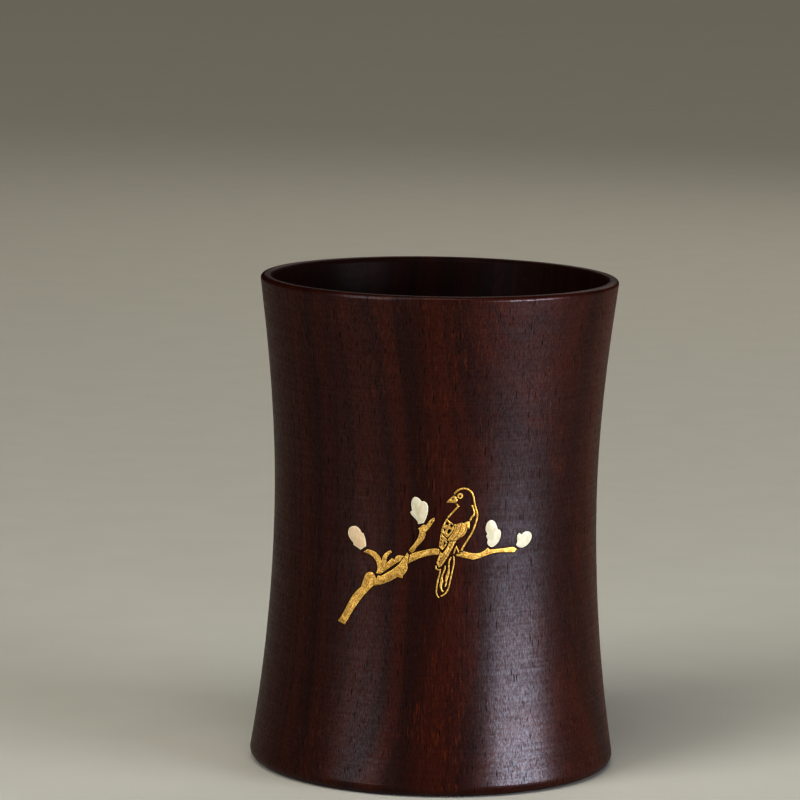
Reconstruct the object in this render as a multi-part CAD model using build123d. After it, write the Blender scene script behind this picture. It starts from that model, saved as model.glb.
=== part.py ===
from build123d import *
import os
from math import atan2, cos, hypot, radians, sin, tan

# Brush holder pot: a turned hardwood pot, waisted, open at the top and closed below by a glued disc.
# A bird on a magnolia branch is let into the front in brass, with four buds in shell.
# Millimetres. +Z is up, the origin is the centre of the base, and the inlay faces -Y.

# Pot
POT_HEIGHT = 112.0
WAIST_DIAMETER = 74.0        # the narrowest section
WAIST_HEIGHT = 61.0
RIM_FLARE = 4.0              # how far the rim stands out beyond the waist
FOOT_FLARE = 5.2             # how far the foot stands out beyond the waist
RIM_LEAN = 7.7               # degrees from upright at the rim
FOOT_LEAN = 9.6              # degrees from upright at the foot
WAIST_WALL = 4.5
LIP_WALL = 2.8
LIP_OUTER_ROUND = 0.9
LIP_INNER_ROUND = 1.2
FOOT_OUTER_ROUND = 2.0
FOOT_INNER_ROUND = 0.8

# Floor disc, glued into a rebate from below
FLOOR_THICKNESS = 6.0
FLOOR_RECESS = 1.0           # the disc's underside stands this far above the table
FLOOR_SEAT = 2.5             # how far the disc reaches under the wall
FLOOR_GAP = 0.05             # glue line round the disc
FLOOR_CHAMFER = 0.5

# Inlay
PERCH_BELOW_WAIST = 6.0      # the bird's perch, from which the picture is laid out
INLAY_DEPTH = 0.8            # below the wood's surface
INLAY_PROUD = 0.12           # above the wood's surface
INLAY_GAP = 0.12             # between a piece and its pocket, and between two pieces
INLAY_BED = 0.05             # glue under a piece
BIRD_LINE = 0.5              # width of the bird's outline strips
FEATHER_LINE = 0.42          # width of the thinner strips
DOT_RADIUS = 0.13
EYE_RADIUS = 0.7
PUPIL_RADIUS = 0.2
POCKET_OVERRUN = 1.0         # how far the cut for the pockets runs out past the wood's surface
SAME_HEIGHT = 1e-6           # two heights closer than this are one

# Worked out from the above
WAIST_RADIUS = WAIST_DIAMETER / 2
RIM_RADIUS = WAIST_RADIUS + RIM_FLARE
FOOT_RADIUS = WAIST_RADIUS + FOOT_FLARE
BORE_RADIUS = WAIST_RADIUS - WAIST_WALL
REBATE_RADIUS = BORE_RADIUS + FLOOR_SEAT
FLOOR_TOP = FLOOR_RECESS + FLOOR_THICKNESS
PERCH_HEIGHT = WAIST_HEIGHT - PERCH_BELOW_WAIST


# The wall

def lower_curve(radial_shift):
    """The wall from the foot up to the waist, moved outwards by radial_shift."""
    handle = WAIST_HEIGHT / 3
    foot = FOOT_RADIUS + radial_shift
    waist = WAIST_RADIUS + radial_shift
    return Bezier((foot, 0, 0), (foot - handle * tan(radians(FOOT_LEAN)), 0, handle),
                  (waist, 0, WAIST_HEIGHT - handle), (waist, 0, WAIST_HEIGHT))


def upper_curve(waist, rim):
    """A wall surface from the waist up to the rim, between two radii."""
    handle = (POT_HEIGHT - WAIST_HEIGHT) / 3
    return Bezier((waist, 0, WAIST_HEIGHT), (waist, 0, WAIST_HEIGHT + handle),
                  (rim - handle * tan(radians(RIM_LEAN)), 0, POT_HEIGHT - handle), (rim, 0, POT_HEIGHT))


def turned(*edges):
    """The solid turned about the pot's axis from a closed half section. Its seam is at the back."""
    return Rot(0, 0, 90) * revolve(Face(Wire(edges)), Axis.Z)


def wall():
    """The turned wall with its bore, lip, foot ring and the rebate for the floor."""
    lip_inside = RIM_RADIUS - LIP_WALL
    body = turned(
        lower_curve(0),
        upper_curve(WAIST_RADIUS, RIM_RADIUS),
        Line((RIM_RADIUS, 0, POT_HEIGHT), (lip_inside, 0, POT_HEIGHT)),
        upper_curve(BORE_RADIUS, lip_inside),
        Line((BORE_RADIUS, 0, WAIST_HEIGHT), (BORE_RADIUS, 0, FLOOR_TOP)),
        Line((BORE_RADIUS, 0, FLOOR_TOP), (REBATE_RADIUS, 0, FLOOR_TOP)),
        Line((REBATE_RADIUS, 0, FLOOR_TOP), (REBATE_RADIUS, 0, 0)),
        Line((REBATE_RADIUS, 0, 0), (FOOT_RADIUS, 0, 0)),
    )
    for edge_height, inner_round, outer_round in (
        (POT_HEIGHT, LIP_INNER_ROUND, LIP_OUTER_ROUND),
        (0, FOOT_INNER_ROUND, FOOT_OUTER_ROUND),
    ):
        for which, radius in ((0, inner_round), (-1, outer_round)):
            rings = body.edges().filter_by(GeomType.CIRCLE).filter_by(
                lambda ring: abs(ring.center().Z - edge_height) < SAME_HEIGHT)
            body = fillet(rings.sort_by(SortBy.RADIUS)[which], radius)
    return body


def floor_disc():
    """The bottom, seated on the shoulder above the rebate."""
    disc = Cylinder(REBATE_RADIUS - FLOOR_GAP, FLOOR_THICKNESS, align=(Align.CENTER, Align.CENTER, Align.MIN))
    disc = chamfer(disc.edges().group_by(Axis.Z)[0], FLOOR_CHAMFER)
    return Pos(0, 0, FLOOR_RECESS) * disc


# Drawing the inlay: flat, x to the right of the pot's axis and y above the perch

def outline(start, *runs):
    """A plate. Its edge leaves start along each run: one point is a straight cut, more are a curve."""
    edges = []
    here = start
    for run in runs:
        edges.append(Line(here, run[0]) if len(run) == 1 else Spline(here, *run))
        here = run[-1]
    if here != start:
        edges.append(Line(here, start))
    return make_face(edges)


def strip(widths, *points, smooth=True):
    """A strip along the points. widths is one width, or one for each point."""
    if not isinstance(widths, (list, tuple)):
        widths = [widths] * len(points)
    left, right = [], []
    for i, (x, y) in enumerate(points):
        before, after = points[max(i - 1, 0)], points[min(i + 1, len(points) - 1)]
        turn_in = atan2(y - before[1], x - before[0]) if i > 0 else atan2(after[1] - y, after[0] - x)
        turn_out = atan2(after[1] - y, after[0] - x) if after != (x, y) else turn_in
        across_x, across_y = -sin(turn_in) - sin(turn_out), cos(turn_in) + cos(turn_out)
        length = hypot(across_x, across_y)
        half_turn_cosine = length / 2
        reach = widths[i] / 2 / half_turn_cosine
        left.append((x + reach * across_x / length, y + reach * across_y / length))
        right.append((x - reach * across_x / length, y - reach * across_y / length))
    side = Spline if smooth else Polyline
    return make_face([side(*left), Line(left[-1], right[-1]), side(*right), Line(right[0], left[0])])


def dot(x, y, radius=DOT_RADIUS):
    """A round hole or plate."""
    return Pos(x, y) * Circle(radius)


def window(*corners):
    """A straight-sided hole."""
    return make_face(Polyline(*corners, close=True))


# The bird. Each function gives a piece's outline and, after it, what is pierced through the piece.

def bird_eye():
    return dot(5.4, 12.3, EYE_RADIUS), [dot(5.4, 12.25, PUPIL_RADIUS)]


def bird_beak():
    plate = outline((2.3, 10.7), [(2.8, 11.4), (4.0, 12.5)], [(4.7, 12.1)], [(4.9, 11.3), (4.4, 10.6)],
                    [(3.3, 10.8), (2.3, 10.7)])
    return plate, [window((3.5, 11.6), (3.9, 11.9), (4.1, 11.5))]


def bird_back_line():
    return strip(BIRD_LINE, (4.1, 12.7), (4.8, 13.5), (6.1, 14.0), (7.3, 13.7), (8.3, 12.4), (8.6, 10.9),
                 (8.9, 9.7), (9.3, 8.3), (9.0, 6.2), (8.2, 4.0), (7.0, 2.0), (5.9, -0.1)), []


def bird_breast_line():
    return strip(BIRD_LINE, (4.4, 10.8), (5.1, 10.0), (4.0, 8.8), (3.2, 7.9), (2.6, 7.2), smooth=False), []


def bird_nape_line():
    return strip(BIRD_LINE, (8.0, 10.3), (8.4, 9.5), (8.6, 8.7), (8.5, 7.9), (8.0, 7.4), (7.8, 6.9),
                 (7.6, 6.3)), []


def bird_wing_shoulder():
    plate = outline((2.6, 7.4), [(3.2, 6.7), (4.1, 6.2)], [(4.3, 5.3)], [(4.0, 4.4), (3.4, 3.6), (2.7, 2.9)],
                    [(1.3, 4.2)], [(1.5, 5.2), (1.9, 6.2), (2.6, 7.4)])
    pierced = [
        window((2.6, 6.6), (2.2, 5.9), (2.8, 5.8), (3.1, 6.1)),
        window((3.4, 6.0), (4.0, 5.7), (3.7, 5.2), (3.3, 5.5)),
        window((1.8, 5.0), (2.4, 4.9), (2.1, 4.3)),
        window((3.0, 4.9), (3.7, 4.7), (3.1, 3.8), (2.7, 4.0)),
    ]
    return plate, pierced


def bird_wing_coverts():
    return outline((4.0, 6.1), [(4.9, 6.1), (5.6, 6.3), (6.4, 6.2)], [(7.0, 6.6), (7.7, 6.6)],
                   [(7.7, 5.7), (7.7, 4.9)], [(7.2, 5.0)], [(7.0, 4.3), (6.5, 3.5), (5.7, 2.9), (4.8, 2.3)],
                   [(2.7, 2.2)], [(3.4, 3.4), (4.0, 4.3), (4.3, 5.2), (4.0, 6.1)]), []


def bird_wing_primaries():
    plate = outline((3.2, 2.2), [(4.8, 2.2)], [(4.2, 1.0), (3.1, -1.1), (1.9, -3.1), (1.0, -3.9)],
                    [(0.4, -2.7)], [(0.8, -1.6), (1.2, -0.1)], [(1.7, -0.6)], [(2.5, 0.5), (3.2, 2.2)])
    return plate, [dot(1.4, -1.7), dot(1.1, -2.5), dot(3.4, 0.8)]


def bird_wing_secondaries():
    plate = outline((1.3, 4.1), [(1.1, 2.6), (0.9, 0.9)], [(1.2, 0.5)], [(1.7, 0.1)],
                    [(2.3, 0.8), (2.8, 1.8)], [(2.7, 2.6)])
    return plate, [window((2.0, 2.1), (2.4, 1.7), (1.9, 0.9)), dot(1.5, 2.8), dot(1.4, 2.0), dot(1.3, 1.2)]


def bird_foot():
    return strip(FEATHER_LINE, (4.2, -0.8), (4.5, 0.2), (4.8, 0.8), (5.1, 0.2), (5.4, -0.6), smooth=False), []


def bird_tail_outer_right():
    return strip(FEATHER_LINE, (4.2, -1.1), (4.3, -2.9), (4.0, -4.7), (3.7, -6.1), (3.4, -7.7), (2.9, -9.1),
                 (2.2, -9.9), (1.5, -10.2)), []


def bird_tail_inner_right():
    widths = (0.4, 0.4, 0.4, 0.5, 0.8, 0.6, 0.45, 0.4)
    return strip(widths, (3.8, -1.4), (3.3, -2.2), (3.2, -3.4), (3.2, -4.6), (2.9, -5.7), (2.7, -6.5),
                 (2.7, -7.2), (2.4, -8.1)), []


def bird_tail_inner_left():
    widths = (0.35, 0.45, 0.5, 0.75, 0.6, 0.45, 0.5)
    return strip(widths, (2.4, -3.3), (2.1, -4.8), (1.7, -6.1), (1.7, -7.0), (1.5, -7.9), (1.7, -8.7),
                 (2.1, -9.3)), []


def bird_tail_outer_left():
    wing_tip_bracket = strip(FEATHER_LINE, (0.3, -3.3), (0.4, -4.1), (1.1, -4.4), (1.5, -4.1), smooth=False)
    feather = strip(FEATHER_LINE, (1.3, -4.3), (1.1, -5.7), (0.8, -6.9), (0.6, -8.3), (0.6, -9.6), (1.2, -10.6))
    return wing_tip_bracket + feather, []


# The branch

def branch_right():
    return outline((4.6, -0.9), [(6.2, 0.1)], [(8.3, -0.5), (10.5, -0.3), (11.7, 0.6)], [(12.3, 0.2)],
                   [(14.6, 0.3), (17.4, 0.5)], [(18.4, -0.1)], [(17.7, -0.9)],
                   [(15.0, -0.7), (12.6, -0.9), (10.5, -1.6), (8.6, -2.1)], [(4.8, -1.2)]), []


def branch_middle():
    return outline((-5.5, -1.1), [(-4.6, -0.6), (-2.6, 0.0), (-0.4, 0.5), (1.0, 0.4)], [(1.2, -0.9)],
                   [(-1.4, -1.2), (-3.9, -2.1), (-5.9, -3.2)]), []


def branch_trunk():
    return outline((-21.4, -17.4), [(-19.7, -18.1)],
                   [(-17.0, -13.2), (-15.1, -10.5), (-13.4, -8.6)], [(-11.0, -7.9), (-8.2, -6.3)],
                   [(-7.0, -6.5)], [(-6.8, -5.7)], [(-6.2, -5.0), (-6.0, -3.2)], [(-5.6, -1.7), (-6.0, -0.5)],
                   [(-6.9, -1.9), (-7.6, -2.9)], [(-8.5, -3.9), (-9.8, -4.9), (-11.0, -5.7)],
                   [(-11.8, -6.2)], [(-12.6, -6.2)], [(-12.8, -6.9)], [(-13.3, -6.0)],
                   [(-14.1, -5.5), (-15.1, -5.9), (-15.6, -6.9)], [(-16.3, -9.1)],
                   [(-17.9, -10.9), (-19.5, -13.9), (-21.4, -17.4)]), []


def branch_fork_left():
    return outline((-16.0, -1.3), [(-15.0, -0.5)], [(-13.1, -1.0), (-12.0, -2.1), (-11.8, -2.8)],
                   [(-11.4, -1.6), (-10.6, -0.7), (-9.7, -0.3)], [(-9.5, -0.9)],
                   [(-10.4, -1.9), (-10.6, -3.2)], [(-9.4, -2.0)], [(-8.9, -2.4)],
                   [(-8.4, -1.5), (-7.3, -1.3), (-6.6, -1.6)], [(-7.6, -2.7)],
                   [(-9.0, -3.6), (-9.9, -4.3), (-11.2, -5.3)], [(-11.8, -5.8)], [(-13.1, -5.8)],
                   [(-12.7, -4.9), (-12.8, -3.7), (-13.8, -2.1)], [(-15.0, -1.5), (-16.0, -1.3)]), []


def branch_twig_up():
    plate = outline((-5.8, -0.2), [(-4.5, 1.6), (-3.6, 3.3), (-3.5, 4.3)], [(-3.8, 4.9)], [(-3.1, 5.4)],
                    [(-2.5, 5.8), (-2.0, 5.6)], [(-1.3, 6.7), (-0.2, 7.5)], [(-0.1, 6.8)],
                    [(-0.9, 5.5), (-1.8, 4.3)], [(-2.1, 4.0)], [(-2.2, 2.9), (-3.1, 1.6), (-4.4, -0.2)],
                    [(-5.1, -0.8)])
    return plate, [window((-1.1, 6.1), (-0.7, 6.6), (-0.7, 6.2))]


# The buds

def bud_far_left():
    return outline((-16.5, -0.9), [(-17.1, -0.5), (-18.1, 0.0)], [(-18.2, 0.6)],
                   [(-19.0, 1.5), (-19.4, 2.9), (-18.8, 4.1), (-17.7, 4.4), (-16.8, 3.9), (-16.3, 3.1)],
                   [(-15.9, 3.0)], [(-15.5, 2.0), (-15.2, 0.1)]), []


def bud_upper():
    return outline((-4.6, 12.0), [(-3.9, 11.8), (-3.1, 11.0)],
                   [(-2.4, 11.0), (-1.8, 10.4), (-1.6, 8.8), (-2.0, 7.2), (-2.5, 6.1)], [(-3.8, 5.8)],
                   [(-4.2, 6.7), (-5.0, 7.5), (-5.6, 8.5)], [(-5.2, 8.9)],
                   [(-5.4, 10.1), (-5.2, 11.4), (-4.6, 12.0)]), []


def bud_right():
    return outline((12.3, 6.8), [(13.1, 6.5), (13.7, 5.5), (14.0, 4.6)],
                   [(14.5, 4.4), (14.7, 3.4), (14.1, 1.6), (12.8, 0.6)], [(11.9, 1.0), (11.6, 1.7)],
                   [(11.7, 2.4)], [(11.3, 3.1)], [(11.6, 3.7)],
                   [(11.2, 4.4), (11.2, 5.3), (11.6, 6.3), (12.3, 6.8)]), []


def bud_branch_tip():
    return outline((18.8, 3.5), [(19.3, 3.1)],
                   [(19.9, 3.6), (20.7, 3.7), (21.5, 3.1), (21.6, 2.0), (20.9, 0.8), (19.8, 0.1)],
                   [(18.7, 0.2), (18.0, 0.9)], [(18.3, 1.7), (18.3, 2.9), (18.8, 3.5)]), []


# In the order in which they are let in: each is cut back where it would run over one before it
INLAYS = (
    bird_eye, bird_beak, bird_back_line, bird_wing_coverts, bird_wing_shoulder, bird_wing_primaries,
    bird_wing_secondaries, bird_breast_line, bird_nape_line, bird_foot, bird_tail_outer_right,
    bird_tail_inner_right, bird_tail_inner_left, bird_tail_outer_left,
    branch_right, branch_middle, branch_trunk, branch_fork_left, branch_twig_up,
    bud_far_left, bud_upper, bud_right, bud_branch_tip,
)


def plain_curve(edge):
    """The edge itself, or a spline through its ends and quarter points where it runs beside another curve."""
    if edge.geom_type in (GeomType.LINE, GeomType.CIRCLE):
        return edge
    return Spline(*[edge @ along for along in (0, 0.25, 0.5, 0.75, 1)], tangents=(edge % 0, edge % 1))


def grown(plate):
    """A plate's outline with the gap added all round."""
    wider = offset(plate, amount=INLAY_GAP, kind=Kind.ARC)
    return make_face([plain_curve(edge) for edge in wider.edges()])


def skin(inner_shift, outer_shift):
    """A layer of the wall, between two distances from its outer surface."""
    return turned(
        lower_curve(outer_shift),
        upper_curve(WAIST_RADIUS + outer_shift, RIM_RADIUS + outer_shift),
        Line((RIM_RADIUS + outer_shift, 0, POT_HEIGHT), (RIM_RADIUS + inner_shift, 0, POT_HEIGHT)),
        upper_curve(WAIST_RADIUS + inner_shift, RIM_RADIUS + inner_shift),
        lower_curve(inner_shift),
        Line((FOOT_RADIUS + inner_shift, 0, 0), (FOOT_RADIUS + outer_shift, 0, 0)),
    )


def wrapped(face, layer):
    """A flat drawing carried straight back onto the front of the pot, as thick as the layer."""
    middle = Plane((0, 0, PERCH_HEIGHT), x_dir=(1, 0, 0), z_dir=(0, -1, 0))
    past_the_front = FOOT_RADIUS + RIM_RADIUS
    return extrude(middle * face, past_the_front) & layer


def inlays_and_pocket():
    """Every inlay by its node's name, and the drawing of the pocket that takes them all."""
    layer = skin(-INLAY_DEPTH, INLAY_PROUD)
    pieces = {}
    pocket = Sketch()
    for draw in INLAYS:
        plate, pierced = draw()
        room = grown(plate)
        for hole in pierced:
            plate -= hole
        plate -= pocket
        pieces[draw.__name__] = wrapped(plate.faces().sort_by(SortBy.AREA)[-1], layer).solid()
        pocket += room
    return pieces, pocket


def make_parts():
    pieces, pocket = inlays_and_pocket()
    pocket_layer = skin(-INLAY_DEPTH - INLAY_BED, POCKET_OVERRUN)
    pieces["pot_body"] = (wall() - wrapped(pocket, pocket_layer)).solid()
    pieces["floor_disc"] = floor_disc()
    return pieces


os.makedirs("parts", exist_ok=True)
for node, shape in make_parts().items():
    export_step(shape, f"parts/{node}.step")
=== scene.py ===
from math import cos, radians, sin, tan

import bmesh
import bpy
import numpy as np
from bpy.props import FloatProperty, FloatVectorProperty, PointerProperty
from mathutils import Matrix, Vector, noise
from mathutils.geometry import delaunay_2d_cdt


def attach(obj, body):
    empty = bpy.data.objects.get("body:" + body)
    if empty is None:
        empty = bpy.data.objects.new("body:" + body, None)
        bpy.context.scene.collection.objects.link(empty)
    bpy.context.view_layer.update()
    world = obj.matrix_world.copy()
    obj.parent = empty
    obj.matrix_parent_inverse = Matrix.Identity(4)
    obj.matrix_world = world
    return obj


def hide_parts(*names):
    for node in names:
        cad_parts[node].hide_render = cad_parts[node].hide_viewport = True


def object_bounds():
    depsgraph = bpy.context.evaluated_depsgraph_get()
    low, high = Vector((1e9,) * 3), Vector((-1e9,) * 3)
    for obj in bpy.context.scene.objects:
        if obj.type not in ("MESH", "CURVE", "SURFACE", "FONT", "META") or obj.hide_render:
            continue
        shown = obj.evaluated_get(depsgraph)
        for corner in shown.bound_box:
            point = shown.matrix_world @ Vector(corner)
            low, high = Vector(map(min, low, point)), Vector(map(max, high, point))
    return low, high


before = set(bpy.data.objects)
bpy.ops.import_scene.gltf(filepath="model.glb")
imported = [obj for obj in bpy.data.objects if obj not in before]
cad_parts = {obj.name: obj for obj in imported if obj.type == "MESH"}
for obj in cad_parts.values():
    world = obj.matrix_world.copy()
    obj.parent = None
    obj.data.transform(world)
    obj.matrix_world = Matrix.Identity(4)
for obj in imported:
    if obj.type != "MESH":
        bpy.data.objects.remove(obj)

# A turned hardwood brush pot with a bird on a magnolia branch let into its front, in brass and shell.
# The pot and its floor are the frame's own solids with a wood finish. Each inlaid piece is carved here
# over the face of its solid. Blender works in metres; the carving is worked out in millimetres.

bl_info = {
    "name": "Brush holder pot",
    "version": (1, 0, 0),
    "blender": (4, 5, 0),
    "location": "3D View > Sidebar > Brush Pot",
    "description": "Finishes a turned hardwood brush pot and carves its brass and shell inlay",
    "category": "Object",
}

MM = 0.001
CAD_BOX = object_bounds()

# Millimetres
PROUD = 0.12            # how far a carved face stands out of the wall
SET_IN = 0.8            # how deep a piece goes into its pocket
EDGE_SHADE = 0.05            # width of the painted shade along a piece's edge
NET = 0.16              # spacing of the net that a face is carved on
FINE_NET = 0.12         # the same for narrow strips and feathers
FOOT_ROUND = 3          # height that the rounding of the foot may take
LIP_ROUND = 2           # height that the rounding of the lip may take
SWAY = 14               # how far a growth band wanders

PORE_ROOM = (3.4, 1.7)  # room for a pore across and along the grain, in pore widths and lengths
ROW_STEP = 0.87         # from one row of the net to the next, as a share of its spacing
CURVE_STEPS = 6         # straight stretches between two given places on a curve
CREASE = radians(50)    # a sharper turn between two facets stays a crease

# Metres
FLOOR_RADIUS = 9.0
FLOOR_GAP = 0.0002                         # between the stage floor and the foot ring
LOOK_AT = Vector((-8.6, 0, 83.2)) * MM     # left of the pot's middle and above it


# Sizes and colours that a maker would change

def colour(name, description, default):
    return FloatVectorProperty(name=name, description=description, subtype="COLOR", size=3, min=0, max=1,
                               default=default)


def length(name, description, millimetres):
    return FloatProperty(name=name, description=description, subtype="DISTANCE", unit="LENGTH", min=0,
                         precision=6, default=millimetres * MM)


def share(name, description, default):
    return FloatProperty(name=name, description=description, subtype="FACTOR", min=0, max=1, default=default)


def number(name, description, default):
    return FloatProperty(name=name, description=description, default=default)


class WoodSettings(bpy.types.PropertyGroup):
    heart: colour("Heartwood", "The main colour of the wood", (0.038, 0.0054, 0.0010))
    dark: colour("Dark band", "The late wood at the end of each growth band", (0.017, 0.0022, 0.0006))
    streak: colour("Streak", "The lighter orange-brown streaks", (0.090, 0.019, 0.0028))
    pore: colour("Pore", "The inside of a pore", (0.0050, 0.0022, 0.0016))
    band: length("Growth band", "Mean thickness of a growth band", 4.2)
    pore_width: length("Pore width", "Mean width of a pore", 0.20)
    pore_length: length("Pore length", "Mean length of a pore along the grain", 3.8)
    gloss: share("Roughness", "Roughness of the wax", 0.31)


class BrassSettings(bpy.types.PropertyGroup):
    # Also the colour of the painted highlight along each piece's edge
    bright: colour("Rubbed brass", "Where fingers and cloth have rubbed it", (0.58, 0.42, 0.15))
    body: colour("Brass", "The main colour of the metal", (0.345, 0.205, 0.040))
    # Also the colour of the painted shade along each piece's edge and down its pocket sides
    dull: colour("Tarnish", "In pits, grooves and cracks", (0.13, 0.060, 0.014))
    grain: length("Grain", "Size of the light and dark grains", 0.55)
    crown: length("Line crown", "How high a line stands in its middle", 0.2)
    bark: length("Bark relief", "Height of the ridges on the branch", 0.05)
    swell: length("Branch swell", "How much the branch swells towards its middle", 0.07)
    groove: length("Feather groove", "Depth of the lines between feathers", 0.11)


class ShellSettings(bpy.types.PropertyGroup):
    cream: colour("Cream", "The pale shell", (0.39, 0.355, 0.265))
    warm: colour("Warm cream", "The clouding in the pale shell", (0.355, 0.315, 0.215))
    pink: colour("Pink", "The body of the pinker bud", (0.48, 0.39, 0.265))
    pink_cloud: colour("Pink cloud", "The clouding in the pinker bud", (0.435, 0.33, 0.21))
    swell: length("Swell", "How much a bud swells towards its middle", 0.14)
    petal: length("Petal groove", "Depth of the lines between petals", 0.04)


class StageSettings(bpy.types.PropertyGroup):
    floor: colour("Floor", "Colour of the pale floor", (0.50, 0.48, 0.415))
    sky: colour("Surround", "Colour of the dim light from all round", (0.50, 0.47, 0.42))
    surround: number("Surround strength", "Strength of the light from all round", 0.02)
    key: number("Key light", "Power of the soft light on the right, in watts", 24.0)
    fill: number("Fill light", "Power of the soft light on the left, in watts", 15.0)
    back: number("Back light", "Power of the soft light behind, in watts", 3.0)
    top: number("Top light", "Strength of the wide soft light overhead, in watts a square metre", 2.0)
    distance: length("Camera distance", "From the middle of the pot to the camera", 1000)
    elevation: number("Camera elevation", "Degrees above level", 9.8)
    roll: number("Camera roll", "Degrees, turning the picture clockwise", 1.04)
    lens: number("Lens", "Focal length in millimetres on a 36 mm sensor", 195.5)


# Shader maths and nodes

class Grade:
    """A number, colour or vector that varies over a surface. Sums on numbers add Math nodes."""

    def __init__(self, finish, socket):
        self.finish = finish
        self.socket = socket

    def maths(self, operation, *values):
        return self.finish.node("ShaderNodeMath", {"operation": operation}, dict(enumerate(values)))

    def __add__(self, other):
        return self.maths("ADD", self, other)

    def __sub__(self, other):
        return self.maths("SUBTRACT", self, other)

    def __rsub__(self, other):
        return self.maths("SUBTRACT", other, self)

    def __mul__(self, other):
        return self.maths("MULTIPLY", self, other)

    def __truediv__(self, other):
        return self.maths("DIVIDE", self, other)

    def __rtruediv__(self, other):
        return self.maths("DIVIDE", other, self)

    def __gt__(self, other):
        return self.maths("GREATER_THAN", self, other)

    __radd__ = __add__
    __rmul__ = __mul__

    def rising(self, low, high):
        """0 up to low and 1 from high, with a smooth rise between them. It falls if low is above high."""
        return self.finish.node("ShaderNodeMapRange", {"interpolation_type": "SMOOTHSTEP"},
                                {"Value": self, "From Min": low, "From Max": high})


class Finish:
    """A material in the making: its nodes and the shader that they feed."""

    def __init__(self, name):
        self.material = bpy.data.materials.new(name)
        self.material.use_nodes = True
        self.tree = self.material.node_tree
        self.shader = self.tree.nodes["Principled BSDF"]

    def node(self, kind, settings, sockets, output=0):
        """Adds a node, with its settings first and then its sockets' values or links. Returns an output."""
        made = self.tree.nodes.new(kind)
        for name, value in settings.items():
            setattr(made, name, value)
        for name, value in sockets.items():
            self.feed(made.inputs[name], value)
        return Grade(self, made.outputs[output])

    def feed(self, socket, value):
        if isinstance(value, Grade):
            self.tree.links.new(value.socket, socket)
        elif socket.type == "RGBA":
            socket.default_value = (*value, 1)
        else:
            socket.default_value = value

    def shade(self, **sockets):
        """Feeds the shader: base_color=... goes to Base Color, and so on."""
        for name, value in sockets.items():
            self.feed(self.shader.inputs[name.replace("_", " ").title().replace("Ior", "IOR")], value)

    def vector(self, operation, *values, output=0):
        return self.node("ShaderNodeVectorMath", {"operation": operation}, dict(enumerate(values)), output)

    def place(self, stretch=(1, 1, 1)):
        """Where a point is on the object, in millimetres, squeezed by the stretch."""
        at = self.node("ShaderNodeTexCoord", {}, {}, "Object")
        return self.vector("MULTIPLY", at, [s / MM for s in stretch])

    def painted(self, name):
        """A number that the mesh carries at each of its corners."""
        return self.node("ShaderNodeAttribute", {"attribute_name": name}, {}, "Fac")

    def mix(self, amount, a, b):
        """Colour a where the amount is 0 and b where it is 1."""
        return self.node("ShaderNodeMix", {"data_type": "RGBA"}, {0: amount, 6: a, 7: b}, 2)

    def mottle(self, at, scale, detail=2.0, rough=0.5):
        """Soft uneven patches, from 0 to 1."""
        return self.node("ShaderNodeTexNoise", {},
                         {"Vector": at, "Scale": scale, "Detail": detail, "Roughness": rough})

    def banded(self, along, scale, detail, rough):
        """Soft uneven bands along a number, from 0 to 1."""
        return self.node("ShaderNodeTexNoise", {"noise_dimensions": "1D"},
                         {"W": along, "Scale": scale, "Detail": detail, "Roughness": rough})

    def relief(self, height):
        """Turns a height in millimetres into the shader's normal."""
        bump = self.node("ShaderNodeBump", {}, {"Strength": 1.0, "Distance": MM, "Height": height})
        self.shade(normal=bump)

    def on(self, obj):
        obj.data.materials.clear()
        obj.data.materials.append(self.material)


def squeezed(f, at, across, lengthwise):
    """A place scaled across the grain and along it."""
    return f.vector("MULTIPLY", at, (across, across, lengthwise))


def growth(f, at, wood, pith):
    """The distance from the pith, counted in growth bands and made uneven."""
    from_pith = f.vector("SUBTRACT", at, (*pith, 0))
    radius = f.vector("LENGTH", f.vector("MULTIPLY", from_pith, (1, 1, 0)), output="Value")
    sway = f.mottle(squeezed(f, at, 0.03, 0.009), 1.0, 2.0)
    return (radius + sway * SWAY) / (wood.band / MM)


def pores_in(f, at, wood):
    """1 in a pore and 0 beside it. Some cells of two stretched lattices hold a pore."""
    across = 1 / (PORE_ROOM[0] * (wood.pore_width / MM))
    lengthwise = 1 / (PORE_ROOM[1] * (wood.pore_length / MM))
    pores = []
    for size, offset in ((1.0, 0.0), (1.7, 37.0)):
        scale = (across * size, across * size, lengthwise * size)
        lattice = f.vector("MULTIPLY_ADD", at, scale, (offset,) * 3)
        cell = {"Vector": lattice, "Scale": 1.0, "Randomness": 1.0}
        near = f.node("ShaderNodeTexVoronoi", {}, cell, "Distance")
        pick = f.node("ShaderNodeSeparateColor", {}, {0: f.node("ShaderNodeTexVoronoi", {}, cell, "Color")})
        pores.append(near.rising(0.26, 0.10) * (pick > 0.60))
    return pores[0].maths("MAXIMUM", *pores)


def turned_inward(f):
    """1 on the bore and 0 on the outside, by the way that the surface faces."""
    outward = f.vector("NORMALIZE", f.vector("MULTIPLY", f.place(), (1, 1, 0)))
    facing = f.node("ShaderNodeNewGeometry", {}, {}, "Normal")
    return f.vector("DOT_PRODUCT", outward, facing, output="Value").rising(-0.2, -0.8)


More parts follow.
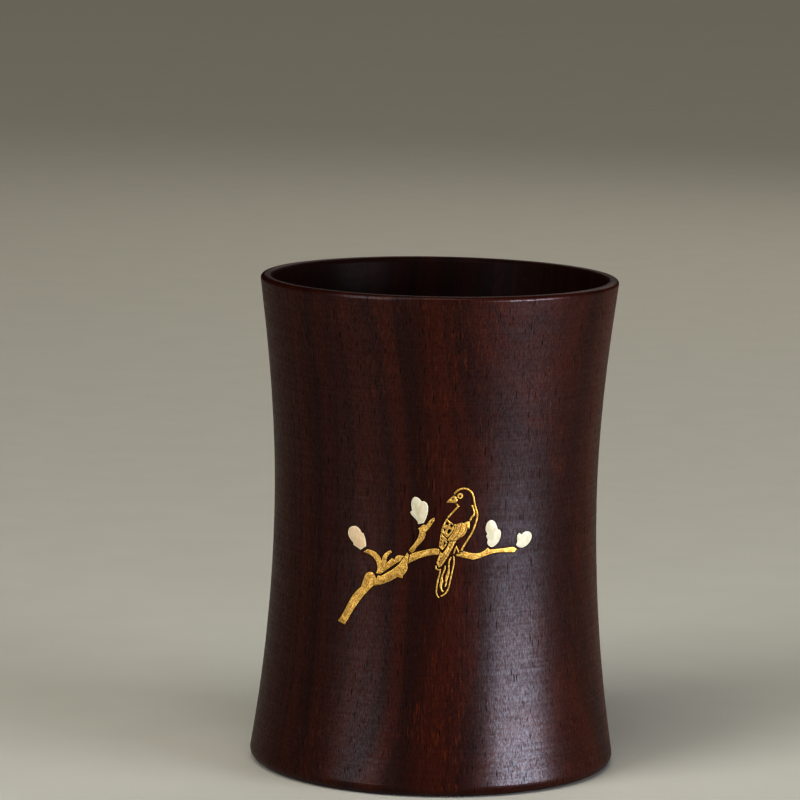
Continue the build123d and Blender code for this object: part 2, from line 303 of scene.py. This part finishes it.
def hardwood(name, wood, pith, along="Z"):
    """Dark red-brown wood as a solid: growth bands round a pith, fibres and pores along the grain."""
    f = Finish(name)
    turned = {"X": (90, 0, 90), "Z": (0, 0, 0)}[along]
    at = f.node("ShaderNodeVectorRotate", {"rotation_type": "EULER_XYZ"},
                {"Vector": f.place(), "Rotation": [radians(a) for a in turned]})
    ring = growth(f, at, wood, pith)
    banding = f.banded(ring, 1.0, 3.0, 0.6)
    fine_ring = f.banded(ring, 4.5, 2.0, 0.5)
    fibre = f.mottle(squeezed(f, at, 1.0, 0.045), 2.6, 3.0, 0.62)
    hair = f.mottle(squeezed(f, at, 1.0, 0.05), 8.0, 2.0, 0.6)
    cloud = f.mottle(squeezed(f, at, 0.09, 0.03), 1.0, 2.0)
    speckle = f.mottle(squeezed(f, at, 1.0, 0.35), 3.2, 2.0, 0.7)
    tool_marks = f.mottle(f.place(stretch=(0.02, 0.02, 1)), 2.4, 2.0)
    pore = pores_in(f, at, wood)
    bore = turned_inward(f)

    body = f.mix(banding.rising(0.36, 0.60), wood.dark, wood.heart)
    body = f.mix(fine_ring.rising(0.52, 0.75) * 0.35, body, wood.dark)
    body = f.mix((fibre.rising(0.50, 0.72) * cloud.rising(0.42, 0.66)) * 0.85, body, wood.streak)
    body = f.mix(hair.rising(0.54, 0.40) * 0.5, body, wood.dark)
    body = f.mix(speckle.rising(0.56, 0.70) * 0.35, body, wood.streak)
    body = f.mix(pore * 0.92, body, wood.pore)
    # Painted shade: the bore is darkened towards the pore colour; it is also left duller
    body = f.mix(bore * 0.6, body, wood.pore)
    f.shade(base_color=body, specular_ior_level=0.06, roughness=hair * 0.1 + bore * 0.2 + 0.45)
    # The wax: thin over the fibres, nearly gone from the pores and the bore
    rubbed = speckle.rising(0.62, 0.38) * 0.34 + hair.rising(0.38, 0.62) * 0.26
    turning = tool_marks.rising(0.3, 0.7) * 0.14
    wax = (1 - pore * 0.8) * (1 - bore * 0.9) * (rubbed + turning + 0.12)
    f.shade(coat_weight=wax, coat_roughness=wood.gloss, coat_ior=1.47)
    # Relief: sunk pores, fine fibres and the faint rings of the turning tool
    f.relief(fibre * 0.016 + hair * 0.014 + speckle * 0.010 + tool_marks * 0.010 - pore * 0.012)
    return f


def brass(name, metal):
    """Satin cast brass: light and dark grains, tarnish in its pits and grooves, painted shade along its edges
    and a painted highlight just inside them.
    """
    f = Finish(name)
    at = f.place()
    fine = 1 / (metal.grain / MM)
    edge_highlight = f.painted("edge_highlight")
    sunk = f.painted("sunk")
    patches = f.mottle(at, fine * 0.33, 2.0)
    grains = f.mottle(at, fine * 1.5, 2.0, 0.6)
    sand = f.mottle(at, fine * 4.5, 1.0)
    pits = f.node("ShaderNodeTexVoronoi", {}, {"Vector": at, "Scale": fine * 0.9}, "Distance")
    pit = pits.rising(0.26, 0.08) * patches.rising(0.40, 0.60)
    body = f.mix(grains.rising(0.42, 0.62), metal.body, metal.bright)
    body = f.mix(patches.rising(0.60, 0.36) * 0.35, body, metal.dull)
    # Painted highlight: paler in a band just inside the edge
    body = f.mix(edge_highlight * 0.3, body, metal.bright)
    body = f.mix(pit * 0.75, body, metal.dull)
    # Tarnish in grooves and cracks, with painted shade along the edge and down the pocket sides
    body = f.mix(sunk * 0.85, body, metal.dull)
    f.shade(base_color=body, metallic=0.6)
    f.shade(roughness=0.48 + grains.rising(0.35, 0.7) * 0.16 + pit * 0.2 + sunk * 0.2 - edge_highlight * 0.08)
    f.relief(grains * 0.030 + sand * 0.012 - pit * 0.05)
    return f


def shell(name, body_colour, cloud_colour, highlight_colour):
    """Polished shell or bone: clouded, with faint growth lines, paler edges as a painted highlight, and
    painted shade in its grooves and at its rim.
    """
    f = Finish(name)
    at = f.place()
    edge_highlight = f.painted("edge_highlight")
    sunk = f.painted("sunk")
    cloud = f.mottle(at, 0.55, 3.0, 0.55)
    growth = f.mottle(f.place(stretch=(2.2, 2.2, 0.35)), 1.0, 2.0, 0.5)
    speck = f.mottle(at, 3.2, 2.0, 0.6)
    body = f.mix(cloud.rising(0.40, 0.64) * 0.8, body_colour, cloud_colour)
    body = f.mix(growth.rising(0.5, 0.68) * 0.35, body, cloud_colour)
    body = f.mix(speck.rising(0.60, 0.72) * 0.2, body, cloud_colour)
    # Painted highlight: paler in a band just inside the edge
    body = f.mix(edge_highlight * 0.8, body, highlight_colour)
    # Painted shade: darker in the petal grooves, along the edge and down the pocket sides
    body = f.mix(sunk * 0.55, body, [c * 0.45 for c in cloud_colour])
    f.shade(base_color=body, subsurface_weight=0.08, subsurface_scale=0.0008)
    f.shade(roughness=cloud * 0.12 + sunk * 0.2 + 0.40, specular_ior_level=0.28)
    f.relief(growth * 0.012 + speck * 0.006)
    return f


# The wall that everything is let into

def wall_profile():
    """The radius of the pot's outside at any height, in millimetres, read from its plain back."""
    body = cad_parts["pot_body"].data
    at = np.array([v.co for v in body.vertices]) / MM
    facing = np.array([v.normal for v in body.vertices])
    radius = np.hypot(at[:, 0], at[:, 1])
    outward = (at[:, 0] * facing[:, 0] + at[:, 1] * facing[:, 1]) / radius
    height = at[:, 2]
    straight = (height > FOOT_ROUND) & (height < height.max() - LIP_ROUND)
    outside = (outward > 0.95) & (at[:, 1] > 0) & straight
    height, radius = height[outside], radius[outside]
    waist = height[radius.argmin()]
    lower = np.polyfit(height[height <= waist], radius[height <= waist], 3)
    upper = np.polyfit(height[height >= waist], radius[height >= waist], 3)
    return lambda z: np.where(z < waist, np.polyval(lower, z), np.polyval(upper, z))


wall_radius = wall_profile()


# The face of an inlaid piece, laid flat: x across the pot and z up it, in millimetres

def outline_of(node):
    """The closed edges of the piece's face. The metal is always on their left."""
    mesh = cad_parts[node].data
    corners = np.round([v.co / MM for v in mesh.vertices], 4)
    points, index = np.unique(corners, axis=0, return_inverse=True)
    index = index.ravel()
    lift = np.hypot(points[:, 0], points[:, 1]) - wall_radius(points[:, 2])
    following = {}
    for face in mesh.polygons:
        ring = [int(index[i]) for i in face.vertices]
        if min(lift[ring]) > 0:
            following.update({(a, b): b for a, b in zip(ring, ring[1:] + ring[:1])})
    edge = {a: b for a, b in following if (b, a) not in following}
    if not edge:
        raise RuntimeError(f"{node} has no face outside the wall to carve")
    loops = []
    while edge:
        start, here = edge.popitem()
        loop = [start]
        while here != start:
            loop.append(here)
            here = edge.pop(here)
        loops.append(points[loop][:, [0, 2]])
    return loops


def evened(loop, spacing):
    """The same closed edge with more points on its long stretches."""
    out = []
    for a, b in zip(loop, np.roll(loop, -1, axis=0)):
        steps = max(1, int(np.ceil(np.hypot(*(b - a)) / spacing)))
        out.extend(a + (b - a) * i / steps for i in range(steps))
    return np.array(out)


def moved_in(loop, distance):
    """The closed edge's points moved towards the metal."""
    along = np.roll(loop, -1, axis=0) - loop
    along /= np.maximum(np.hypot(along[:, 0], along[:, 1]), 1e-9)[:, None]
    side = np.stack([-along[:, 1], along[:, 0]], axis=1)
    across = side + np.roll(side, 1, axis=0)
    across /= np.maximum((across ** 2).sum(1) / 2, 0.5)[:, None]
    return loop + across * distance


def segments(loops):
    """Where each straight stretch of the closed edges starts, and where it ends."""
    return (np.concatenate(loops), np.concatenate([np.roll(loop, -1, axis=0) for loop in loops]))


def from_line(points, starts, ends):
    """Each point's distance from the nearest of the straight stretches."""
    best = np.full(len(points), 1e9)
    for a, b in zip(starts, ends):
        run = b - a
        t = np.clip(((points - a) @ run) / max(run @ run, 1e-12), 0, 1)
        best = np.minimum(best, np.hypot(*(points - a - t[:, None] * run).T))
    return best


def inside(points, starts, ends):
    """Which points lie on the metal, by counting the edges to their right."""
    count = np.zeros(len(points), int)
    for (ax, az), (bx, bz) in zip(starts, ends):
        crosses = (az > points[:, 1]) != (bz > points[:, 1])
        if crosses.any():
            reach = ax + (points[:, 1] - az) * (bx - ax) / (bz - az if bz != az else 1e-12)
            count += crosses & (points[:, 0] < reach)
    return count % 2 == 1


def sides_of(face):
    """The triangle's sides, each as a pair of corners in order."""
    return zip(face, face[1:] + face[:1])


def rim_of(faces):
    """The sides that only one triangle has."""
    sides = {side for face in faces for side in sides_of(face)}
    return sorted((a, b) for a, b in sides if (b, a) not in sides)


def groups(faces):
    """The triangles in groups that share sides."""
    owner = {side: i for i, face in enumerate(faces) for side in sides_of(face)}
    left, made = set(range(len(faces))), []
    while left:
        group, waiting = [], [min(left)]
        while waiting:
            i = waiting.pop()
            if i in left:
                left.remove(i)
                group.append(i)
                waiting += [owner[b, a] for a, b in sides_of(faces[i]) if (b, a) in owner]
        made.append([faces[i] for i in sorted(group)])
    return made


def whole(faces):
    """The largest group of triangles, less any that hang on to it by one corner."""
    faces = max(groups(faces), key=len)
    while True:
        starts = [a for a, _ in rim_of(faces)]
        pinched = [a for a in starts if starts.count(a) > 1]
        if not pinched:
            return faces
        loose = min(groups([face for face in faces if min(pinched) in face]), key=len)
        faces = [face for face in faces if face not in loose]


def netted(points, rim, starts, ends):
    """A net of triangles over the metal, and which of the points each of its corners came from."""
    net, _, faces, sources, *_ = delaunay_2d_cdt([Vector(p) for p in points], rim, [], 0, 1e-5)
    net = np.array(net)
    kept = inside(np.array([net[list(face)].mean(0) for face in faces]), starts, ends)
    return net, whole([face for face, keep in zip(faces, kept) if keep]), sources


def numbered(loops):
    """The stretches of the closed edges as pairs of point numbers, counted through all the edges."""
    first, stretches = 0, []
    for loop in loops:
        stretches += [(first + i, first + (i + 1) % len(loop)) for i in range(len(loop))]
        first += len(loop)
    return stretches


def staggered(low, high, spacing):
    """Points in staggered rows over the box from low to high."""
    rows = np.arange(low[1], high[1], spacing * ROW_STEP)
    return np.array([(x + (i % 2) * spacing / 2, z) for i, z in enumerate(rows)
                     for x in np.arange(low[0], high[0], spacing)])


class Face:
    """A piece's face as a net of triangles, with each point's distance from the edge."""

    def __init__(self, node, edge_round, spacing=NET):
        self.edge_round = edge_round
        loops = [evened(loop, spacing) for loop in outline_of(node)]
        starts, ends = segments(loops)
        self.low, self.high = starts.min(0), starts.max(0)
        points = np.concatenate([starts, self.spread(loops, spacing)])
        self.points, self.faces, _ = netted(points, numbered(loops), starts, ends)
        self.edge = from_line(self.points, starts, ends)
        self.rim = rim_of(self.faces)
        self.underside = self.closed_below()

    def spread(self, loops, spacing):
        """Points inside the edge: in lines along its rounding, and evenly over the rest."""
        starts, ends = segments(loops)
        lines = [moved_in(loop, self.edge_round * step) for step in (0.15, 0.45, 1.0) for loop in loops]
        rest = staggered(self.low, self.high, spacing)
        rest = rest[from_line(rest, starts, ends) > self.edge_round + spacing * 0.4]
        points = np.concatenate([*lines, rest])
        points = points[inside(points, starts, ends)]
        return points[from_line(points, starts, ends) > self.edge_round * 0.12]

    def closed_below(self):
        """The triangles of the underside, which has the face's rim and nothing inside it."""
        starts, ends = (list(which) for which in zip(*self.rim))
        corners = sorted(set(starts))
        rim = [(corners.index(a), corners.index(b)) for a, b in self.rim]
        _, under, source = netted(self.points[corners], rim, self.points[starts], self.points[ends])
        return [[corners[source[i][0]] for i in face] for face in under]

    def inward(self, width):
        """0 on the edge, rising to 1 at the given distance from it."""
        return np.clip(self.edge / width, 0, 1)

    def dropped_edge(self):
        """How far the rounded edge falls below the face."""
        outward = 1 - self.inward(self.edge_round)
        return self.edge_round * (1 - np.sqrt(1 - outward ** 2))

    def across(self, u, v):
        """A place on the face as shares of its width and height."""
        return self.low + (self.high - self.low) * (u, v)

    def groove(self, width, *places):
        """How deep in a groove each point is, from 0 to 1. The groove is drawn through shares of the face."""
        line = rounded([self.across(*place) for place in places])
        away = from_line(self.points, line[:-1], line[1:])
        return np.clip(1 - away / (width / 2), 0, 1) ** 1.3

    def noise(self, scale, seed=0.0, squash=(1, 1)):
        """Soft unevenness over the face, about from -1 to 1."""
        return np.array([noise.noise(Vector((x * scale * squash[0], z * scale * squash[1], seed)))
                         for x, z in self.points])


def rounded(places):
    """A smooth run of points through the given ones."""
    places = [np.array(p, float) for p in places]
    padded = [2 * places[0] - places[1], *places, 2 * places[-1] - places[-2]]
    out = []
    for a, b, c, d in zip(padded, padded[1:], padded[2:], padded[3:]):
        for t in np.linspace(0, 1, CURVE_STEPS, endpoint=False):
            out.append(0.5 * (2 * b + (c - a) * t + (2 * a - 5 * b + 4 * c - d) * t ** 2
                              + (3 * b - a - 3 * c + d) * t ** 3))
    return np.array(out + [places[-1]])


def carved(name, face, lift, sunk, highlight_width):
    """The piece's mesh: its face lifted off the wall, and closed down into its pocket."""
    bm = bmesh.new()
    edge_highlight = bm.verts.layers.float.new("edge_highlight")
    dark = bm.verts.layers.float.new("sunk")
    radius = wall_radius(face.points[:, 1]) + lift
    depth = -np.sqrt(radius ** 2 - face.points[:, 0] ** 2)
    corners = [bm.verts.new((x * MM, y * MM, z * MM)) for (x, z), y in zip(face.points, depth)]
    for ring in face.faces:
        bm.faces.new([corners[i] for i in ring])
    # Painted shade: a thin dark band along the piece's edge, joined to the darkening of its grooves
    grooves_and_edge_shade = np.clip(np.maximum(sunk, 1 - face.inward(EDGE_SHADE)), 0, 1)
    # Painted highlight: a paler band just inside the edge, of the given width
    edge_highlight_band = (1 - face.inward(highlight_width)) * (1 - grooves_and_edge_shade)
    for corner, w, s in zip(corners, edge_highlight_band, grooves_and_edge_shade):
        corner[edge_highlight], corner[dark] = w, s
    under = {}
    for i, _ in face.rim:
        x, z = face.points[i]
        y = -float(np.sqrt((wall_radius(z) - SET_IN) ** 2 - x ** 2))
        under[i] = bm.verts.new((x * MM, y * MM, z * MM))
        # Painted shade: the sides that go down into the pocket are fully dark
        under[i][dark] = 1
    for a, b in face.rim:
        bm.faces.new((corners[b], corners[a], under[a], under[b]))
    for ring in face.underside:
        bm.faces.new([under[i] for i in reversed(ring)])
    bmesh.ops.delete(bm, geom=[v for v in bm.verts if not v.link_faces], context="VERTS")
    bmesh.ops.recalc_face_normals(bm, faces=bm.faces)
    for polygon in bm.faces:
        polygon.smooth = True
    mesh = bpy.data.meshes.new(name)
    bm.to_mesh(mesh)
    bm.free()
    mesh.set_sharp_from_angle(angle=CREASE)
    return mesh


def let_in(name, node, face, lift, finish, sunk=0, highlight_width=0.25):
    """Carves the piece and puts it in place of its solid. A painted highlight makes its edge paler over the
    given width.
    """
    piece = bpy.data.objects.new(name, carved(name, face, lift, sunk, highlight_width))
    bpy.context.scene.collection.objects.link(piece)
    finish.on(piece)
    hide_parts(node)
    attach(piece, "root")


# Operators: one for each piece or group of like pieces

class BRUSHPOT_OT_wood(bpy.types.Operator):
    """Gives the turned pot and its floor their wood"""
    bl_idname = "brushpot.wood"
    bl_label = "Finish the Wood"

    def execute(self, context):
        wood = context.scene.brushpot_wood
        hardwood("hardwood_upright", wood, pith=(-46, 58)).on(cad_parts["pot_body"])
        hardwood("hardwood_floor", wood, pith=(20, -60), along="X").on(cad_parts["floor_disc"])
        return {"FINISHED"}


class BRUSHPOT_OT_branch(bpy.types.Operator):
    """Carves the brass branch"""
    bl_idname = "brushpot.branch"
    bl_label = "Carve the Branch"

    def execute(self, context):
        metal = context.scene.brushpot_brass
        finish = brass("brass_branch", metal)
        for seed, part in enumerate(("trunk", "fork_left", "twig_up", "middle", "right")):
            face = Face("branch_" + part, edge_round=0.09)
            bark = face.noise(1.5, seed) * 0.6 + face.noise(3.6, seed + 9) * 0.4
            cracks = np.clip((abs(face.noise(0.9, seed + 4, (1, 1.4))) * -9 + 0.42), 0, 1)
            cracks = cracks * face.inward(0.3) * 0.5
            swell = metal.swell / MM * face.inward(0.8) ** 0.7
            lift = PROUD - face.dropped_edge() + swell + metal.bark / MM * bark - 0.05 * cracks
            let_in("brass_branch_" + part, "branch_" + part, face, lift, finish, cracks)
        return {"FINISHED"}


class BRUSHPOT_OT_lines(bpy.types.Operator):
    """Makes the bird's outline, feet and tail of half-round brass strip"""
    bl_idname = "brushpot.lines"
    bl_label = "Lay the Bird's Lines"

    def execute(self, context):
        metal = context.scene.brushpot_brass
        finish = brass("brass_line", metal)
        for part in ("back_line", "breast_line", "nape_line", "foot", "tail_outer_right", "tail_inner_right",
                     "tail_inner_left", "tail_outer_left"):
            face = Face("bird_" + part, edge_round=0.1, spacing=FINE_NET)
            rise = face.inward(0.24)
            lift = metal.crown / MM * np.sqrt(1 - (1 - rise) ** 2) - 0.01 + 0.012 * face.noise(2.5)
            let_in("brass_bird_" + part, "bird_" + part, face, lift, finish, highlight_width=0.1)
        return {"FINISHED"}


class BRUSHPOT_OT_wing(bpy.types.Operator):
    """Carves the four plates of the wing"""
    bl_idname = "brushpot.wing"
    bl_label = "Carve the Wing"

    def execute(self, context):
        metal = context.scene.brushpot_brass
        finish = brass("brass_feather", metal)
        grooves = {
            "coverts": [(0.30, (0.62, 0.90), (0.58, 0.62), (0.45, 0.32), (0.30, 0.10)),
                        (0.26, (0.86, 0.86), (0.82, 0.60), (0.70, 0.36), (0.55, 0.12)),
                        (0.24, (0.40, 0.88), (0.40, 0.62), (0.32, 0.40), (0.18, 0.16))],
            "shoulder": [],
            "primaries": [(0.24, (0.80, 0.97), (0.56, 0.55), (0.20, 0.14)),
                          (0.22, (0.93, 0.93), (0.72, 0.55), (0.36, 0.16))],
            "secondaries": [],
        }
        for part, lines in grooves.items():
            face = Face("bird_wing_" + part, edge_round=0.08, spacing=FINE_NET)
            sunk = np.zeros(len(face.points))
            for width, *places in lines:
                sunk = np.maximum(sunk, face.groove(width, *places))
            lift = (PROUD - face.dropped_edge() + 0.08 * face.inward(0.5) + 0.02 * face.noise(2.2)
                    - metal.groove / MM * sunk)
            let_in("brass_wing_" + part, "bird_wing_" + part, face, lift, finish, sunk * 1.4,
                   highlight_width=0.16)
        return {"FINISHED"}


class BRUSHPOT_OT_head(bpy.types.Operator):
    """Makes the bird's beak and eye"""
    bl_idname = "brushpot.head"
    bl_label = "Make the Beak and Eye"

    def execute(self, context):
        metal = context.scene.brushpot_brass
        finish = brass("brass_head", metal)
        beak = Face("bird_beak", edge_round=0.08, spacing=0.1)
        parting = beak.groove(0.2, (0.02, 0.06), (0.4, 0.33), (0.66, 0.42))
        lift = PROUD - beak.dropped_edge() + 0.1 * beak.inward(0.4) - 0.06 * parting
        let_in("brass_bird_beak", "bird_beak", beak, lift, finish, parting * 0.7, highlight_width=0.14)
        eye = Face("bird_eye", edge_round=0.07, spacing=0.08)
        ridge_radius, ridge_width = 0.47, 0.14
        centre = (eye.low + eye.high) / 2
        out = np.hypot(*(eye.points - centre).T)
        ring = np.exp(-((out - ridge_radius) / ridge_width) ** 2)
        lift = 0.1 - eye.dropped_edge() + 0.09 * ring
        let_in("brass_bird_eye", "bird_eye", eye, lift, finish, (1 - ring) * 0.25, highlight_width=0.12)
        return {"FINISHED"}


class BRUSHPOT_OT_buds(bpy.types.Operator):
    """Carves the four shell buds"""
    bl_idname = "brushpot.buds"
    bl_label = "Carve the Buds"

    def execute(self, context):
        bud = context.scene.brushpot_shell
        # Painted highlight: the buds' edges are a paler cream
        edge = [min(1, c * 1.4) for c in bud.cream]
        cream = shell("shell_cream", bud.cream, bud.warm, edge)
        pink = shell("shell_pink", bud.pink, bud.pink_cloud, edge)
        petals = {
            "far_left": [((0.40, 0.96), (0.55, 0.66), (0.62, 0.36))],
            "upper": [((0.62, 0.80), (0.50, 0.56), (0.42, 0.30)), ((0.28, 0.62), (0.36, 0.42), (0.46, 0.20))],
            "right": [((0.60, 0.66), (0.48, 0.46), (0.40, 0.26))],
            "branch_tip": [((0.40, 0.70), (0.44, 0.46), (0.40, 0.24))],
        }
        for part, lines in petals.items():
            face = Face("bud_" + part, edge_round=0.12)
            sunk = np.zeros(len(face.points))
            for places in lines:
                sunk = np.maximum(sunk, face.groove(0.34, *places) * face.inward(0.5))
            swell = 1 - (1 - face.inward(2.2)) ** 2
            lift = (PROUD - face.dropped_edge() + bud.swell / MM * swell - bud.petal / MM * sunk
                    + 0.012 * face.noise(0.9, 3))
            pale = part != "far_left"
            let_in("shell_bud_" + part, "bud_" + part, face, lift, cream if pale else pink,
                   sunk * 0.35, highlight_width=0.22)
        return {"FINISHED"}


def lamp(name, watts, size, azimuth, elevation, distance, tint, aim):
    """A soft rectangular light. Azimuth is counted from the front of the pot to its right."""
    data = bpy.data.lights.new(name, "AREA")
    data.shape, data.energy, data.color = "RECTANGLE", watts, tint
    data.size, data.size_y = size
    light = bpy.data.objects.new(name, data)
    bpy.context.scene.collection.objects.link(light)
    a, e = radians(azimuth), radians(elevation)
    back = Vector((sin(a) * cos(e), -cos(a) * cos(e), sin(e)))
    light.location = aim + back * distance
    light.rotation_euler = (-back).to_track_quat("-Z", "Y").to_euler()


class BRUSHPOT_OT_stage(bpy.types.Operator):
    """Sets the floor, the lights and the camera"""
    bl_idname = "brushpot.stage"
    bl_label = "Set the Stage"

    def execute(self, context):
        stage = context.scene.brushpot_stage
        low, high = CAD_BOX
        middle = Vector((0, 0, (low.z + high.z) / 2))
        self.floor(stage, low.z)
        self.surround(context, stage)
        lamp("key_light", stage.key, (0.70, 0.24), 58, 5, 1.1, (0.92, 0.99, 1.16), middle)
        lamp("fill_light", stage.fill, (0.62, 1.0), -47, 22, 1.2, (0.96, 0.99, 1.06), middle)
        lamp("back_light", stage.back, (1.0, 0.8), 165, 32, 1.4, (1.0, 0.98, 0.95), middle)
        self.top_light(context, stage)
        self.camera(context, stage, middle)
        view = context.scene.view_settings
        view.view_transform, view.gamma = "Standard", 0.65
        return {"FINISHED"}

    def top_light(self, context, stage):
        data = bpy.data.lights.new("top_light", "SUN")
        data.energy, data.angle, data.color = stage.top, radians(50), (1.0, 0.98, 0.94)
        light = bpy.data.objects.new("top_light", data)
        context.scene.collection.objects.link(light)
        light.rotation_euler = (radians(30), radians(-6), 0)

    def floor(self, stage, height):
        mesh = bpy.data.meshes.new("floor")
        bm = bmesh.new()
        bmesh.ops.create_circle(bm, cap_ends=True, segments=96, radius=FLOOR_RADIUS)
        bmesh.ops.translate(bm, verts=bm.verts, vec=(0, 0, height - FLOOR_GAP))
        bm.to_mesh(mesh)
        bm.free()
        floor = bpy.data.objects.new("floor", mesh)
        bpy.context.scene.collection.objects.link(floor)
        f = Finish("pale_floor")
        grain = f.mottle(f.place(), 0.05, 3.0)
        f.shade(base_color=f.mix(grain.rising(0.3, 0.7), stage.floor, [c * 0.98 for c in stage.floor]),
                roughness=0.8)
        f.on(floor)

    def surround(self, context, stage):
        world = bpy.data.worlds.new("surround")
        context.scene.world = world
        world.use_nodes = True
        sky = world.node_tree.nodes["Background"]
        sky.inputs["Color"].default_value = (*stage.sky, 1)
        sky.inputs["Strength"].default_value = stage.surround

    def camera(self, context, stage, middle):
        """Stands off the pot, looks a little above its middle and to its left, and is rolled a little."""
        e, roll = radians(stage.elevation), radians(stage.roll)
        data = bpy.data.cameras.new("camera")
        data.sensor_width, data.lens = 36.0, stage.lens
        data.clip_start, data.clip_end = 0.05, 60.0
        camera = bpy.data.objects.new("camera", data)
        context.scene.collection.objects.link(camera)
        stand = middle + stage.distance * Vector((0, -cos(e), sin(e)))
        ahead = (LOOK_AT - stand).normalized()
        right = ahead.cross(Vector((0, 0, 1))).normalized()
        up = right.cross(ahead)
        across = cos(roll) * right + sin(roll) * up
        upward = cos(roll) * up - sin(roll) * right
        turn = Matrix((across, upward, -ahead)).transposed()
        camera.matrix_world = Matrix.Translation(stand) @ turn.to_4x4()
        context.scene.camera = camera


class BRUSHPOT_PT_panel(bpy.types.Panel):
    """Lists the pot's settings and makers"""
    bl_idname = "BRUSHPOT_PT_panel"
    bl_label = "Brush Pot"
    bl_space_type = "VIEW_3D"
    bl_region_type = "UI"
    bl_category = "Brush Pot"

    def draw(self, context):
        for operator in MAKERS:
            self.layout.operator(operator.bl_idname)
        for title, group in SETTINGS.items():
            box = self.layout.box()
            box.label(text=title.title())
            settings = getattr(context.scene, "brushpot_" + title)
            for name in group.__annotations__:
                box.prop(settings, name)


SETTINGS = {"wood": WoodSettings, "brass": BrassSettings, "shell": ShellSettings, "stage": StageSettings}
MAKERS = (BRUSHPOT_OT_wood, BRUSHPOT_OT_branch, BRUSHPOT_OT_lines, BRUSHPOT_OT_wing, BRUSHPOT_OT_head,
          BRUSHPOT_OT_buds, BRUSHPOT_OT_stage)


def register():
    for group in (*SETTINGS.values(), *MAKERS, BRUSHPOT_PT_panel):
        bpy.utils.register_class(group)
    for title, group in SETTINGS.items():
        setattr(bpy.types.Scene, "brushpot_" + title, PointerProperty(type=group))


def unregister():
    for title in SETTINGS:
        delattr(bpy.types.Scene, "brushpot_" + title)
    for group in (BRUSHPOT_PT_panel, *reversed(MAKERS), *reversed(SETTINGS.values())):
        bpy.utils.unregister_class(group)


def main():
    register()
    bpy.ops.brushpot.wood()
    bpy.ops.brushpot.branch()
    bpy.ops.brushpot.lines()
    bpy.ops.brushpot.wing()
    bpy.ops.brushpot.head()
    bpy.ops.brushpot.buds()
    bpy.ops.brushpot.stage()


if __name__ == "__main__":
    main()
